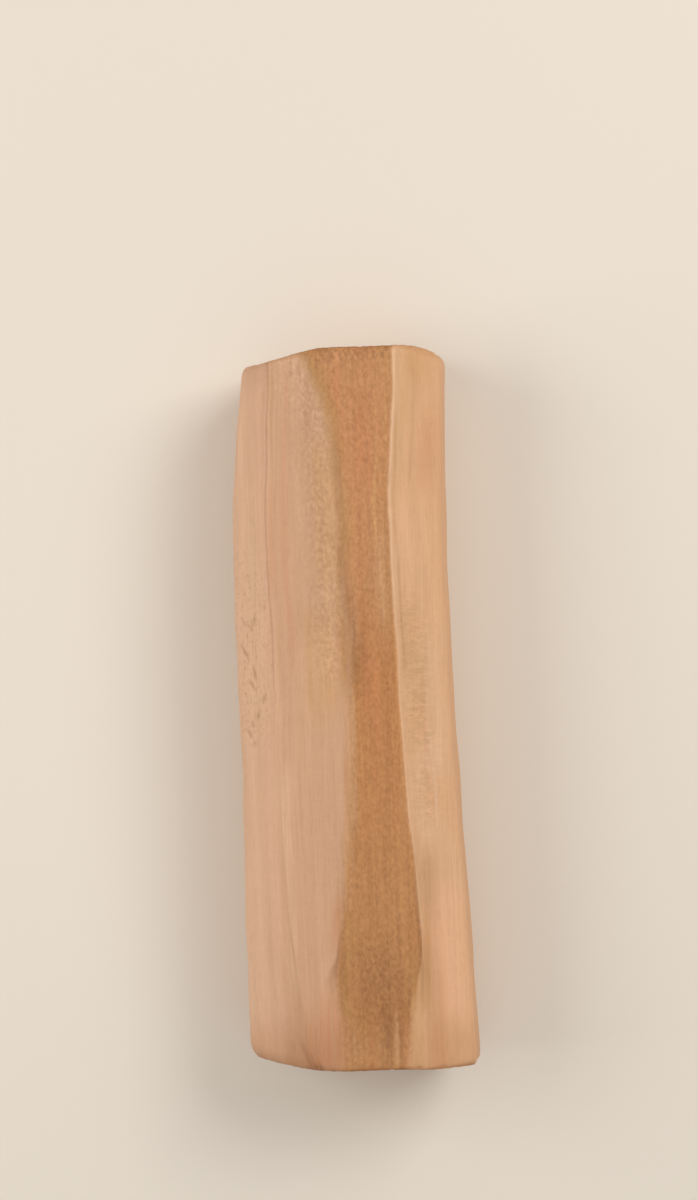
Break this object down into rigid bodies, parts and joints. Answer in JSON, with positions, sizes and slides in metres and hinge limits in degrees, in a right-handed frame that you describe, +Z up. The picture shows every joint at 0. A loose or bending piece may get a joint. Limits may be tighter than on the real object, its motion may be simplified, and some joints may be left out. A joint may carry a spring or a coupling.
{
  "type": "sandalwood stick",
  "caption": "Short hewn stick of sandalwood with long flat faces, sawn ends and a dark heartwood stripe, lying on its flat back.",
  "frame": {"origin": "on the surface that the stick lies on, under the middle of its bounding box", "axes": "+Y along the stick from its foot to its tip, +Z up out of its crown, +X to the right when it is seen from above with the tip away"},
  "size_m": [0.0338, 0.104, 0.024],
  "materials": {
    "sandalwood": "hewn and rubbed smooth"
  },
  "bodies": {
    "root": {"sandalwood_stick": "sandalwood"}
  },
  "joints": []
}
